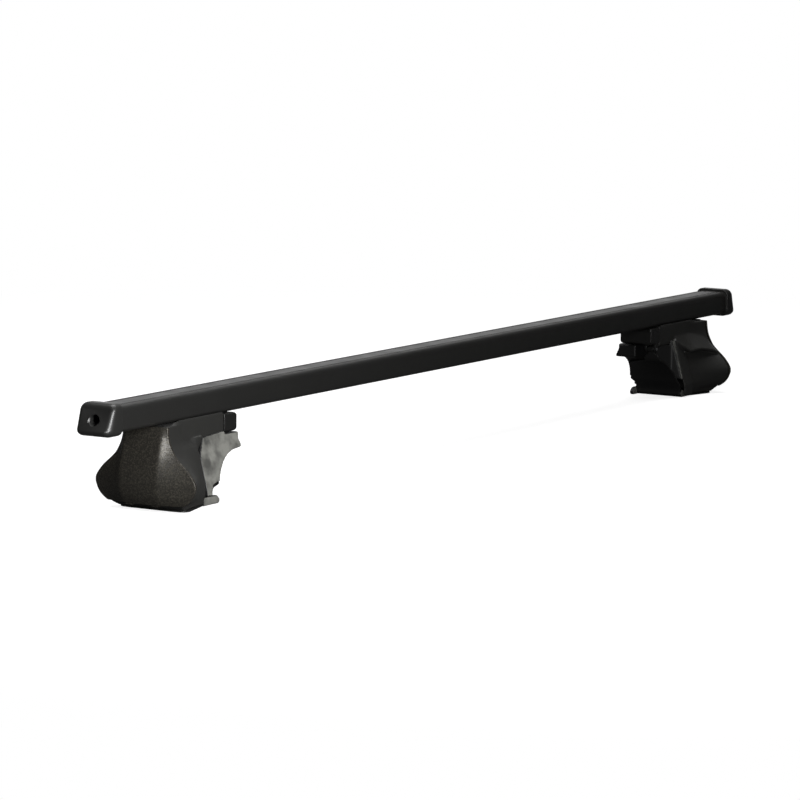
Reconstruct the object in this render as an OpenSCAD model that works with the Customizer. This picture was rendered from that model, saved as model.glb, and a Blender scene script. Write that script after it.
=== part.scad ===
// Roof rack crossbar for raised roof rails: a steel bar with two clamping feet.
// X runs along the bar, Y to the back, Z up. The feet stand on Z = 0 and the bar is centred.
// Each foot is drawn in its own frame: X runs inboard from the rim of the cover.

/* [Bar] */
// Overall length over both end caps
rack_length = 1188; // [1000:2:1400]
// Width of the bar section
bar_w = 32; // [30:0.5:36]
// Height of the bar section
bar_h = 23.5; // [20:0.5:28]
// Outer corner radius of the bar section
bar_r = 5; // [3.5:0.25:6]
// Wall thickness of the bar
bar_wall = 2; // [1.5:0.1:2.5]
// Width of the slot along the underside of the bar
slot_w = 9; // [7:0.25:10]
// Width of each groove along the top of the bar
groove_w = 0.8; // [0.5:0.1:1.2]
// Depth of each groove
groove_depth = 0.45; // [0.2:0.05:0.8]

/* [End caps] */
// Length of the cap head beyond the bar at its foremost edge
cap_length = 22; // [19:0.5:34]
// How far the lower edge of the cap stands out past the upper edge
cap_rake = 9; // [0:0.5:10]
// How far the cap stands proud of the bar all round
cap_proud = 2.5; // [1:0.25:3.5]
// Corner radius of the cap head
cap_r = 6.5; // [5:0.25:8]
// Rounding of the outer end face
cap_edge = 3.5; // [2:0.25:5]
// Length of the plug inside the bar
plug_length = 22; // [15:1:30]
// Diameter of the hole in the end face
cap_hole_d = 10; // [9:0.25:12]
// Depth of that hole
cap_hole_depth = 15; // [10:0.5:18]

/* [Feet] */
// Height of the underside of the bar above the ground
foot_h = 76; // [72:0.5:84]
// Distance of the left cover rim from the bar end with its cap
left_inset = 83; // [60:1:120]
// Distance of the right cover rim from the bar end with its cap
right_inset = 77; // [60:1:120]
// Length of the housing under the bar
arm_length = 98; // [92:0.5:106]
// Height of the arm of the housing under the bar
arm_h = 20; // [19:0.25:22]
// Width of the arm
arm_w = 35; // [33:0.5:42]
// Depth of the lower housing from the rim to its inboard face
hull_depth = 51; // [46:0.5:54]
// Width of the foot at its widest
rim_w = 104; // [96:1:112]
// Width of the inboard face of the housing near the ground
back_w = 60; // [54:1:64]
// Thickness of the rubber saddle under the bar
saddle_t = 1; // [0.8:0.1:2]
// Thickness of the sole plate
sole_t = 1.5; // [1.1:0.1:1.6]

/* [Cover] */
// Wall thickness of the cover
cover_t = 2.5; // [1.8:0.1:3]
// How far the middle panel stands out in front of the rim
panel_out = 12; // [9:0.5:15]
// Half width of the middle panel
panel_half = 19; // [17:0.5:21]
// Gap between the cover and the housing
parting = 0.4; // [0.3:0.05:0.8]
// Diameter of the hinge pin
hinge_pin_d = 3; // [2.5:0.1:3.4]

/* [Clamping] */
// Diameter of the two bolts that hold the foot on the bar
clamp_bolt_d = 6; // [5:0.25:6.5]
// Distance between the two bolts
clamp_pitch = 19; // [17:0.5:20]
// Length of the plate inside the bar
clamp_plate_l = 38; // [34:0.5:44]
// Thickness of the plate inside the bar
clamp_plate_t = 4; // [3:0.25:5]
// Diameter of the tension screw
tension_d = 6; // [5:0.25:6.5]
// Travel of the claw
claw_travel = 8; // [4:0.5:9]
// Length of the claw block past the housing
claw_block_l = 20; // [17:0.5:22]
// Running clearance round screws and pins
fit = 0.05; // [0.03:0.01:0.09]

/* [Rail grip] */
// Radius of the cradle that meets the roof rail
cradle_r = 40; // [36:0.5:44]
// Length of the tab of the rail pad past the arm
tab_reach = 21; // [16:0.5:24]
// Width of that tab
tab_w = 20; // [15:0.5:22]
// Thickness of the flanges of the pad beside the arm
flange_t = 2.2; // [1.5:0.1:3]
// Thickness of the strap
strap_t = 1.6; // [1:0.1:2]
// Width of the neck of the strap
strap_neck_w = 7; // [5:0.25:8]
// Diameter of the pin that carries the strap
strap_pin_d = 3.2; // [2.5:0.1:3.6]

/* [Hidden] */
$fn = 48;

// The top edge of the raked cap is the shorter one, so the tube ends where the cap starts
half_length = rack_length / 2;
tube_half = half_length - cap_length;
bar_mid_z = foot_h + bar_h / 2;
air = 0.1;
eps = 0.01;

// Levels of the foot, all hung from the underside of the bar
housing_top = foot_h - air - saddle_t;
arm_low = foot_h - arm_h;
arm_half = arm_w / 2;
screw_z = arm_low + 6.4;
tongue_h = 7.8;
tongue_half = 11;
channel_gap = 0.3;
channel_top = screw_z + tongue_h / 2 + channel_gap;
nut_h = 3.2;
nut_seat_z = channel_top + 3.9;
housing_front = cover_t + parting;
arm_step = 0.3;
chin = 0.5;
partition_x = 15;
partition_t = 5;
bolt_x0 = 26;

// Outline of the foot seen from outboard: height as a share of foot_h, half width as a share
rim_outline = [[0.075, 0.72], [0.1, 0.79], [0.16, 0.9], [0.235, 0.97], [0.34, 1], [0.475, 0.87],
    [0.605, 0.66], [0.67, 0.575], [0.815, 0.475], [1, 0.435]];
// Half width of the inboard face of the housing, in the same way, as a share of back_w / 2
waist = (arm_half - 1.6) / (back_w / 2);
back_outline = [[0.02, 0.9], [0.12, 0.99], [0.2, 1], [0.45, 0.88], [0.67, 0.71], [0.78, waist], [1, waist]];
// Forward reach of the middle panel by height, as a share of panel_out
panel_outline = [[0.075, 0.4], [0.2, 0.84], [0.42, 1], [0.7, 0.62], [1, 0.05]];

cover_low = sole_t + 5;
cover_top = foot_h - 1.4;
cover_rows = 18;
wing_steps = 6;
wing_hollow = 1.8;
panel_steps = 4;
hinge_x = -0.4;
hinge_z = cover_low + 1.7;
knuckle_r = hinge_pin_d / 2 + 1.5;
hinge_relief = 1.2;
knuckle_in = 10;
knuckle_out = 17;
lug_in = 3.5;

// Place of the strap pin in the claw, and the sides of the neck of the strap
pin_x = arm_length + 6;
pin_z = arm_low - 2.5;
ear_r = strap_pin_d / 2 + 1.4;
ear_t = 3;
neck_low = 7.5;
neck_high = neck_low + strap_neck_w;
side_air = 0.2;
block_low = arm_low + 2.8;
block_gap = 0.4;
block_half = 18;

// The crown of the cradle lies this far under the arm, and its lower end this far above the pad's foot
crown_drop = 12;
cradle_x = arm_length + 13;
cradle_z = arm_low - crown_drop - cradle_r;
pad_low = 9;
arc_start = asin((pad_low + 10.6 - cradle_z) / cradle_r);
arc_end = 88;
arc_x = cradle_x - cradle_r * cos(arc_start);
pad_half = back_w / 2 + 1.5;
top_half = arm_half + flange_t;
pad_top = arm_low + 4;

// Smooth curve through a table of [place, value] pairs
function span(v, t, i = 0) = (i >= len(t) - 2 || v <= t[i + 1][0]) ? i : span(v, t, i + 1);
function slope(t, i) = let (a = max(i - 1, 0), b = min(i + 1, len(t) - 1))
    (t[b][1] - t[a][1]) / (t[b][0] - t[a][0]);
function curve(v, t) = let (i = span(v, t), h = t[i + 1][0] - t[i][0],
    u = min(max((v - t[i][0]) / h, 0), 1))
    (2 * u^3 - 3 * u^2 + 1) * t[i][1] + (u^3 - 2 * u^2 + u) * h * slope(t, i)
    + (3 * u^2 - 2 * u^3) * t[i + 1][1] + (u^3 - u^2) * h * slope(t, i + 1);
function mix(a, b, u) = a + (b - a) * u;

// Solid through a row of closed rings, each counter-clockwise seen from the last ring's side.
// Each end is closed by a strip that joins point i of the ring to the point as far from its other end.
function end_strip(n) = [for (i = [0 : ceil(n / 2) - 2]) each
    (i + 1 < n - 2 - i ? [[i, i + 1, n - 1 - i], [i + 1, n - 2 - i, n - 1 - i]] : [[i, i + 1, n - 1 - i]])];
module loft(rings) {
    n = len(rings[0]);
    last = len(rings) - 1;
    sides = [for (k = [0 : last - 1]) for (i = [0 : n - 1]) let (j = (i + 1) % n)
        each [[k * n + i, (k + 1) * n + i, (k + 1) * n + j], [k * n + i, (k + 1) * n + j, k * n + j]]];
    polyhedron([for (r = rings) each r],
        concat(end_strip(n), sides, [for (f = end_strip(n)) [for (i = [2, 1, 0]) last * n + f[i]]]));
}

// Rounded rectangle as a list of points, and as a flat shape with true arcs
function round_ring(w, h, r, steps = 6) = [for (c = [[1, 1, 0], [-1, 1, 90], [-1, -1, 180], [1, -1, 270]])
    for (s = [0 : steps]) let (a = c[2] + 90 * s / steps)
    [c[0] * (w / 2 - r) + r * cos(a), c[1] * (h / 2 - r) + r * sin(a)]];
module round_plate(w, h, r) {
    square([w, h - 2 * r], center = true);
    square([w - 2 * r, h], center = true);
    for (y = [-1, 1], z = [-1, 1]) translate([y * (w / 2 - r), z * (h / 2 - r)]) circle(r);
}
// Extrusion along X of a shape drawn in Y and Z
module along_x(x0, x1) {
    translate([x0, 0, 0]) rotate([90, 0, 90]) linear_extrude(x1 - x0) children();
}
// Extrusion along Y of a shape drawn in X and Z
module along_y(y0, y1) {
    translate([0, y1, 0]) rotate([90, 0, 0]) linear_extrude(y1 - y0) children();
}
module rod_y(x, z, d, y0, y1) {
    translate([x, y1, z]) rotate([90, 0, 0]) cylinder(d = d, h = y1 - y0);
}
module rod_x(x0, x1, z, d) {
    translate([x0, 0, z]) rotate([0, 90, 0]) cylinder(d = d, h = x1 - x0);
}

// Bar: a closed steel section with a slot along its underside and fine grooves on top
module bar() {
    color([0.13, 0.13, 0.135]) translate([0, 0, bar_mid_z]) difference() {
        along_x(-tube_half, tube_half) round_plate(bar_w, bar_h, bar_r);
        along_x(-tube_half - 1, tube_half + 1)
            round_plate(bar_w - 2 * bar_wall, bar_h - 2 * bar_wall, bar_r - bar_wall);
        translate([-tube_half - 1, -slot_w / 2, -bar_h / 2 - 1])
            cube([2 * tube_half + 2, slot_w, bar_wall + 2]);
        for (y = [-1, 1]) translate([-tube_half - 1, y * (bar_w / 2 - bar_r - 0.6) - groove_w / 2,
            bar_h / 2 - groove_depth]) cube([2 * tube_half + 2, groove_w, 1]);
    }
}

// End cap: a raked, rounded head with a plug, drawn outward from the end of the tube
function cap_ring(x, inset) = let (w = bar_w + 2 * (cap_proud - inset), h = bar_h + 2 * (cap_proud - inset),
    ring = round_ring(w, h, max(cap_r - inset, 1)))
    [for (p = ring) [x - cap_rake * (p[1] + h / 2) / h * x / cap_length, p[0], p[1]]];
module cap() {
    edge_steps = 5;
    color([0.1, 0.1, 0.1]) translate([tube_half, 0, bar_mid_z]) difference() {
        union() {
            loft(concat([cap_ring(0, 0.8), cap_ring(1, 0)], [for (s = [0 : edge_steps])
                cap_ring(cap_length - cap_edge + cap_edge * sin(90 * s / edge_steps),
                    cap_edge * (1 - cos(90 * s / edge_steps)))]));
            along_x(-plug_length, 1) round_plate(bar_w - 2 * bar_wall - 2 * side_air,
                bar_h - 2 * bar_wall - 2 * side_air, max(bar_r - bar_wall, 1));
        }
        rod_x(cap_length - cap_rake - cap_hole_depth, cap_length + 1, 0, cap_hole_d);
        rod_x(-plug_length - 1, cap_length, 0, 4.5 + 2 * fit);
    }
}
module cap_screw() {
    seat = cap_length - cap_rake - cap_hole_depth;
    color([0.35, 0.35, 0.36]) translate([tube_half, 0, bar_mid_z]) difference() {
        union() {
            rod_x(seat, seat + 2.6, 0, 8.4);
            rod_x(-plug_length, seat + 1, 0, 4.5);
        }
        along_x(seat + 0.9, seat + 4) for (a = [0, 90]) rotate(a) square([4.6, 1.1], center = true);
    }
}

function rim_half(z) = rim_w / 2 * curve(z / foot_h, rim_outline);
function back_half(z) = back_w / 2 * curve(z / foot_h, back_outline);
function panel_x(z) = -panel_out * curve(z / foot_h, panel_outline);

// Front of the cover: u runs from -1 to 1 over the middle panel and to 2 or -2 over each wing
function cover_y(z, u) = let (p = min(panel_half, rim_half(z) - 2.2), a = abs(u))
    sign(u) * (a <= 1 ? a * p : mix(p, rim_half(z), a - 1));
function cover_x(z, u) = let (a = abs(u), bow = 0.9 * (1 - min(a, 1)^2))
    panel_x(z) * (a <= 1 ? 1 : (2 - a)^wing_hollow) - bow;
cover_steps = concat([for (s = [0 : wing_steps - 1]) 2 - s / wing_steps],
    [for (s = [0 : 2 * panel_steps]) 1 - s / panel_steps], [for (s = [1 : wing_steps]) -1 - s / wing_steps]);
function cover_ring(z) = concat([for (u = cover_steps) [cover_x(z, u), cover_y(z, u), z]],
    [for (i = [len(cover_steps) - 1 : -1 : 0]) let (u = cover_steps[i])
        [cover_x(z, u) + cover_t, cover_y(z, u), z]]);

// Cover: a crowned middle panel between two flared wings, hinged at its lower edge
module cover() {
    color([0.24, 0.22, 0.19]) difference() {
        union() {
            loft([for (k = [0 : cover_rows]) cover_ring(mix(cover_low, cover_top, k / cover_rows))]);
            for (s = [-1, 1]) {
                y0 = s > 0 ? knuckle_in : -knuckle_out;
                rod_y(hinge_x, hinge_z, 2 * knuckle_r, y0, y0 + knuckle_out - knuckle_in);
                translate([panel_x(hinge_z) + cover_t - 0.6, y0, hinge_z - knuckle_r])
                    cube([hinge_x - panel_x(hinge_z) - cover_t + 0.6, knuckle_out - knuckle_in, 2 * knuckle_r]);
            }
            translate([panel_x(foot_h * 0.9) + cover_t - 0.8, -6, foot_h * 0.9])
                cube([housing_front + 3 - panel_x(foot_h * 0.9) - cover_t, 12, 1.6]);
        }
        rod_y(hinge_x, hinge_z, hinge_pin_d + 2 * fit, -knuckle_out - 1, knuckle_out + 1);
    }
}
module hinge_pin() {
    color([0.6, 0.6, 0.62]) rod_y(hinge_x, hinge_z, hinge_pin_d, -knuckle_out, knuckle_out);
}

// Half width of the housing, from the rim behind the cover to the inboard face
function housing_half(x, z) = let (u = (x - housing_front) / (hull_depth - housing_front))
    mix(rim_half(z) - 0.8, back_half(z), 1 - (1 - u)^1.5);
function housing_ring(x, inset, low, high, rows = 13) = let (
    zs = [for (k = [0 : rows]) mix(low, high, k / rows)])
    concat([for (z = zs) [x, housing_half(max(x, housing_front), z) - inset, z]],
        [for (k = [rows : -1 : 0]) [x, inset - housing_half(max(x, housing_front), zs[k]), zs[k]]]);

// Flared skirt on one side of the housing, with a peaked lower edge
module skirt() {
    stations = [[14, 0, 13], [24, 2.2, 16], [33, 4.2, 17.5], [42, 3.6, 14], [hull_depth - 1, 1.6, 9]];
    loft([for (s = stations) let (top = arm_low + 8, low = arm_low + 4 - s[2] * 0.62,
        y0 = arm_half - 4, y1 = housing_half(s[0], low) + s[1])
        [for (p = [[y0, top], [y0, low], [y1, low - 0.5], [y1 + 0.4, low + 1.5], [arm_half, top]])
            [s[0], p[0], p[1]]]]);
}

// Haunch between the inboard face and the arm; the rail pad meets its slope
haunch = [[hull_depth, arm_low - 16], [hull_depth + 2.6, arm_low - 8], [hull_depth + 10, pad_top - 0.8]];

// Housing: the moulded shell that carries the cover, the claw and the rail pad
module housing() {
    color([0.17, 0.17, 0.18]) difference() {
        union() {
            difference() {
                union() {
                    loft([for (x = [housing_front, 6, 10, 16, 23, 31, 41, hull_depth])
                        housing_ring(x, 0, sole_t + max(10 - x, 0) * chin, housing_top - arm_step)]);
                    along_x(housing_front + 1, arm_length) translate([0, (arm_low + housing_top) / 2])
                        round_plate(arm_w, housing_top - arm_low, 1.2);
                    along_y(-top_half, top_half) polygon(concat([[hull_depth - 2, arm_low - 16]], haunch,
                        [[hull_depth + 10, pad_top + 0.4], [hull_depth - 2, pad_top + 0.4]]));
                    skirt();
                }
                rod_y(hinge_x, hinge_z, 2 * (knuckle_r + hinge_relief), -rim_w, rim_w);
                loft([for (x = [housing_front - 1, 7, partition_x])
                    housing_ring(x, 5, foot_h * 0.17, channel_top - 1, 8)]);
            }
            for (s = [-1, 1]) {
                y0 = s > 0 ? lug_in : side_air - knuckle_in;
                rod_y(hinge_x, hinge_z, 2 * knuckle_r, y0, y0 + knuckle_in - lug_in - side_air);
                translate([hinge_x, y0, hinge_z - knuckle_r])
                    cube([housing_front + 3, knuckle_in - lug_in - side_air, 2 * knuckle_r]);
            }
        }
        rod_y(hinge_x, hinge_z, hinge_pin_d + 2 * fit, -knuckle_out, knuckle_out);
        translate([housing_front - 1, -7, foot_h * 0.9 - 1])
            cube([5, 14, 3.6]);
        rod_x(housing_front - 1, partition_x, screw_z, 13);
        rod_x(partition_x - 1, partition_x + partition_t + 1, screw_z, tension_d + 2 * fit);
        translate([partition_x + partition_t, -tongue_half - channel_gap, channel_top - tongue_h - 2 * channel_gap])
            cube([arm_length, 2 * (tongue_half + channel_gap), tongue_h + 2 * channel_gap]);
        for (k = [0, 1]) translate([bolt_x0 + k * clamp_pitch, 0, 0]) {
            translate([0, 0, channel_top - 1]) cylinder(d = 12.4, h = nut_seat_z - channel_top + 1);
            translate([0, 0, channel_top]) cylinder(d = clamp_bolt_d + 2 * fit, h = foot_h);
        }
        for (y = [-1, 1]) translate([sole_screw_x, y * sole_screw_y, -1]) cylinder(d = 4 + 2 * fit, h = 15);
    }
}

// Rubber saddle between the housing and the bar
module saddle() {
    color([0.05, 0.05, 0.05]) difference() {
        translate([housing_front + 0.4, -arm_half + 1, housing_top])
            cube([arm_length - housing_front - 1.4, arm_w - 2, saddle_t]);
        for (k = [0, 1]) translate([bolt_x0 + k * clamp_pitch, 0, 0])
            cylinder(d = clamp_bolt_d + 2 * fit, h = 2 * foot_h);
    }
}

// Plate inside the bar, with the two bolts and nuts that pull it down on the lips of the slot
plate_low = foot_h + bar_wall + air;
bolt_low = nut_seat_z - nut_h - 0.4;
module clamp_plate() {
    color([0.62, 0.62, 0.63]) difference() {
        translate([bolt_x0 + clamp_pitch / 2 - clamp_plate_l / 2, -bar_w / 2 + bar_wall + 2.5, plate_low])
            cube([clamp_plate_l, bar_w - 2 * bar_wall - 5, clamp_plate_t]);
        for (k = [0, 1]) translate([bolt_x0 + k * clamp_pitch, 0, 0])
            cylinder(d = clamp_bolt_d + 2 * fit, h = 2 * foot_h);
    }
}
module clamp_bolts() {
    color([0.7, 0.7, 0.71]) for (k = [0, 1]) translate([bolt_x0 + k * clamp_pitch, 0, 0]) {
        translate([0, 0, bolt_low]) cylinder(d = clamp_bolt_d, h = plate_low + clamp_plate_t - bolt_low);
        translate([0, 0, plate_low + clamp_plate_t]) cylinder(d = 11, h = 3.4);
    }
}
module clamp_nuts() {
    color([0.7, 0.7, 0.71]) for (k = [0, 1]) translate([bolt_x0 + k * clamp_pitch, 0, nut_seat_z - nut_h])
        difference() {
            cylinder(d = 11.2, h = nut_h, $fn = 6);
            translate([0, 0, -1]) cylinder(d = clamp_bolt_d + 2 * fit, h = nut_h + 2);
        }
}

// Sole plate under the housing and its two screws
sole_screw_x = 30;
sole_screw_y = 16;
module sole() {
    front = rim_half(sole_t) - 2;
    back = back_half(sole_t) - 0.6;
    edge = [[9.5, front - 14], [10.5, front - 5], [13, front - 1.4], [18, front - 0.6], [hull_depth - 0.6, back]];
    color([0.08, 0.08, 0.08]) difference() {
        linear_extrude(sole_t) polygon(concat([for (p = edge) [p[0], -p[1]]],
            [for (i = [len(edge) - 1 : -1 : 0]) edge[i]]));
        for (y = [-1, 1]) translate([sole_screw_x, y * sole_screw_y, 0]) {
            translate([0, 0, -1]) cylinder(d = 4 + 2 * fit, h = 5);
            translate([0, 0, -1]) cylinder(d = 8, h = 1 + sole_t * 0.6);
        }
    }
}
module sole_screws() {
    color([0.6, 0.6, 0.62]) for (y = [-1, 1]) translate([sole_screw_x, y * sole_screw_y, 0]) difference() {
        union() {
            translate([0, 0, 0.1]) cylinder(d = 7.4, h = sole_t * 0.6 - 0.1);
            translate([0, 0, 0.1]) cylinder(d = 4, h = 13);
        }
        for (a = [0, 90]) rotate(a) translate([-2, -0.4, -1]) cube([4, 0.8, 1.6]);
    }
}

// Rail pad: an S-shaped cradle with a tab over the rail and flanges beside the arm
tab_x = arm_length + tab_reach;
module rail_pad() {
    tab_top = block_low - 0.4;
    crown_z = cradle_z + cradle_r;
    ledge = [[0.37, 0], [0.4, 4], [0.46, 7.6], [0.6, 9.6]];
    profile = concat([[hull_depth, pad_low]],
        [for (p = ledge) [mix(hull_depth, arc_x, p[0]), pad_low + p[1]]],
        [for (a = [arc_start : 5 : arc_end])
            [cradle_x - cradle_r * cos(a), cradle_z + cradle_r * sin(a)]],
        [[tab_x - 2.5, crown_z + 0.5], [tab_x - 0.6, crown_z + 1.5], [tab_x, crown_z + 3.2],
        [tab_x - 4.4, tab_top - 2.4], [tab_x - 5.6, tab_top - 0.6], [tab_x - 7.5, tab_top],
        [arm_length - 1, tab_top], [arm_length - 3, pad_top + 1.4]], [for (i = [2 : -1 : 0]) haunch[i]]);
    color([0.55, 0.55, 0.54]) difference() {
        intersection() {
            along_y(-pad_half - 5, pad_half + 5) polygon(profile);
            translate([0, 0, -1]) linear_extrude(foot_h) polygon([[hull_depth, -pad_half - 1],
                [tab_x + 1, -pad_half - 1], [tab_x + 1, tab_w - top_half], [arm_length - 2, tab_w - top_half],
                [hull_depth + 22, top_half - 1], [hull_depth + 19, pad_half + 1], [hull_depth, pad_half + 1]]);
            along_x(0, 2 * tab_x) polygon([[-pad_half, 0], [pad_half, 0], [pad_half, 0.18 * foot_h],
                [top_half + 2, 0.67 * foot_h], [top_half, 0.76 * foot_h], [top_half, foot_h],
                [-top_half, foot_h], [-top_half, 0.76 * foot_h], [-top_half - 2, 0.67 * foot_h],
                [-pad_half, 0.18 * foot_h]]);
        }
        translate([0, -arm_half, arm_low]) cube([arm_length, arm_w, foot_h]);
        translate([arm_length - eps, -block_half - 0.6, tab_top]) cube([foot_h, 2 * block_half + 1.2, foot_h]);
    }
}
// Lower lip: the rounded bead under the pad that keeps the rail from riding down
module lower_lip() {
    lip_h = pad_low - 1.2;
    lip_x = mix(hull_depth, arc_x, 0.56);
    lip_half = back_w / 2 - 2;
    color([0.55, 0.55, 0.54]) {
        along_y(-lip_half, lip_half) {
            translate([lip_x, lip_h / 2]) circle(d = lip_h);
            translate([hull_depth, 0]) square([lip_x - hull_depth, lip_h]);
        }
    }
}

// Tension screw with a six-sided socket, and the washer that it bears on
head_h = 6;
washer_t = 1.2;
screw_end = arm_length - 8;
module tension_screw() {
    head_x = partition_x - washer_t - head_h - 0.1;
    color([0.72, 0.72, 0.73]) difference() {
        union() {
            rod_x(head_x, head_x + head_h, screw_z, 10);
            rod_x(head_x + 1, screw_end, screw_z, tension_d);
        }
        translate([head_x - 1, 0, screw_z]) rotate([0, 90, 0]) cylinder(d = 5.8, h = 4.5, $fn = 6);
    }
}
module thrust_washer() {
    color([0.78, 0.7, 0.45]) translate([0, 0, screw_z]) difference() {
        rod_x(partition_x - washer_t, partition_x, 0, 12);
        rod_x(0, partition_x + 1, 0, tension_d + 2 * fit);
    }
}

// Claw: a block on a tongue that slides in the arm, with two ears for the strap pin
nut_x = arm_length - 30;
nut_w = 10;
nut_t = 5;
tongue_x = nut_x - 4;
module claw() {
    block_x = arm_length + block_gap;
    block_top = foot_h - 0.5;
    color([0.09, 0.09, 0.09]) difference() {
        union() {
            intersection() {
                along_x(block_x, block_x + claw_block_l) translate([0, (block_low + block_top) / 2])
                    round_plate(2 * block_half, block_top - block_low, 2.5);
                along_y(-block_half - 1, block_half + 1) {
                    roll = 3.6;
                    translate([block_x - 1, block_low]) square([claw_block_l + 1 - roll, block_top - block_low]);
                    for (z = [block_low + roll, block_top - roll])
                        translate([block_x + claw_block_l - roll, z]) circle(roll);
                    translate([block_x, block_low + roll])
                        square([claw_block_l, block_top - block_low - 2 * roll]);
                }
            }
            translate([tongue_x, -tongue_half, screw_z - tongue_h / 2])
                cube([block_x + 1 - tongue_x, 2 * tongue_half, tongue_h]);
            for (y = [neck_low - side_air - ear_t, neck_high + side_air]) {
                rod_y(pin_x, pin_z, 2 * ear_r, y, y + ear_t);
                translate([pin_x - ear_r, y, pin_z]) cube([2 * ear_r, ear_t, block_low + 1 - pin_z]);
            }
        }
        rod_x(tongue_x - 1, screw_end + 1 + claw_travel, screw_z, tension_d + 2 * fit);
        translate([nut_x, -nut_w / 2 - side_air, screw_z - nut_w / 2 - 1])
            cube([nut_t, nut_w + 2 * side_air, nut_w + 2]);
        rod_y(pin_x, pin_z, strap_pin_d + 2 * fit, -foot_h, foot_h);
    }
}
module claw_nut() {
    color([0.7, 0.7, 0.71]) difference() {
        translate([nut_x, -nut_w / 2, screw_z - tongue_h / 2]) cube([nut_t, nut_w, tongue_h]);
        rod_x(nut_x - 1, nut_x + nut_t + 1, screw_z, tension_d + 2 * fit);
    }
}
module strap_pin() {
    color([0.65, 0.65, 0.66])
        rod_y(pin_x, pin_z, strap_pin_d, neck_low - side_air - ear_t, neck_high + side_air + ear_t);
}

// Strap: a rubber-coated steel band that hangs from the claw in front of the rail pad
strap_r = cradle_r - 0.4 - strap_t / 2;
function on_cradle(a) = [cradle_x - strap_r * cos(a), cradle_z + strap_r * sin(a)];
function wide(z) = mix(back_w / 2 - 0.5, arm_half, (z - 12) / (0.67 * foot_h - 12));
module strap() {
    foot_angle = asin((pad_low + 8.7 - cradle_z) / cradle_r);
    foot = on_cradle(foot_angle);
    leave = on_cradle(54);
    neck_end = [pin_x - 1, pin_z - ear_r + 1];
    path = concat([[foot[0] - 1.6, foot[1] - 6], [foot[0] - 0.7, foot[1] - 3]],
        [for (k = [0 : 5]) on_cradle(mix(foot_angle, 50, k / 5))], [leave, mix(leave, neck_end, 0.5), neck_end]);
    last = len(path) - 1;
    function rise(i) = let (d = path[min(i + 1, last)] - path[max(i - 1, 0)]) d / norm(d);
    function edges(i) = i <= last - 5 ? [-wide(path[i][1]), wide(path[i][1])]
        : i == last - 4 ? [-14, wide(path[i][1])] : i == last - 3 ? [-2, neck_high + 3] : [neck_low, neck_high];
    color([0.07, 0.07, 0.07]) difference() {
        union() {
            loft([for (i = [0 : last]) let (t = rise(i), n = [-t[1], t[0]] * strap_t / 2, e = edges(i), p = path[i])
                [[p[0] - n[0], e[0], p[1] - n[1]], [p[0] - n[0], e[1], p[1] - n[1]],
                [p[0] + n[0], e[1], p[1] + n[1]], [p[0] + n[0], e[0], p[1] + n[1]]]]);
            rod_y(pin_x, pin_z, 2 * ear_r, neck_low, neck_high);
            rod_y(path[0][0] + 0.6, path[0][1], 3.4, -wide(path[0][1]), wide(path[0][1]));
        }
        rod_y(pin_x, pin_z, strap_pin_d + 2 * fit, -foot_h, foot_h);
    }
}

// Places of the two feet and of the two caps
module at_left() { translate([left_inset - half_length, 0, 0]) children(); }
module at_right() { translate([half_length - right_inset, 0, 0]) rotate(180) children(); }
module flip() { mirror([1, 0, 0]) children(); }

bar();
flip() cap();  // left_cap
cap();  // right_cap
flip() cap_screw();  // left_cap_screw
cap_screw();  // right_cap_screw
at_left() housing();  // left_housing
at_right() housing();  // right_housing
at_left() cover();  // left_cover
at_right() cover();  // right_cover
at_left() hinge_pin();  // left_hinge_pin
at_right() hinge_pin();  // right_hinge_pin
at_left() saddle();  // left_saddle
at_right() saddle();  // right_saddle
at_left() clamp_plate();  // left_clamp_plate
at_right() clamp_plate();  // right_clamp_plate
at_left() clamp_bolts();  // left_clamp_bolts
at_right() clamp_bolts();  // right_clamp_bolts
at_left() clamp_nuts();  // left_clamp_nuts
at_right() clamp_nuts();  // right_clamp_nuts
at_left() sole();  // left_sole
at_right() sole();  // right_sole
at_left() sole_screws();  // left_sole_screws
at_right() sole_screws();  // right_sole_screws
at_left() rail_pad();  // left_rail_pad
at_right() rail_pad();  // right_rail_pad
at_left() lower_lip();  // left_lower_lip
at_right() lower_lip();  // right_lower_lip
at_left() tension_screw();  // left_tension_screw
at_right() tension_screw();  // right_tension_screw
at_left() thrust_washer();  // left_thrust_washer
at_right() thrust_washer();  // right_thrust_washer
at_left() claw();  // left_claw
at_right() claw();  // right_claw
at_left() claw_nut();  // left_claw_nut
at_right() claw_nut();  // right_claw_nut
at_left() strap_pin();  // left_strap_pin
at_right() strap_pin();  // right_strap_pin
at_left() strap();  // left_strap
at_right() strap();  // right_strap
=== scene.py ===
# %% [markdown]
# # Roof rack crossbar
# A black steel bar lies across a car's raised roof rails on two clamping feet. The CAD model gives every
# size and joint, and this script dresses it: smoother shapes where light shows the facets, real finishes,
# a camera and soft studio light. Lengths are written in millimetres and turned to metres when a mesh is made.

import math

import bmesh
import bpy
from mathutils import Matrix, Vector


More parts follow.
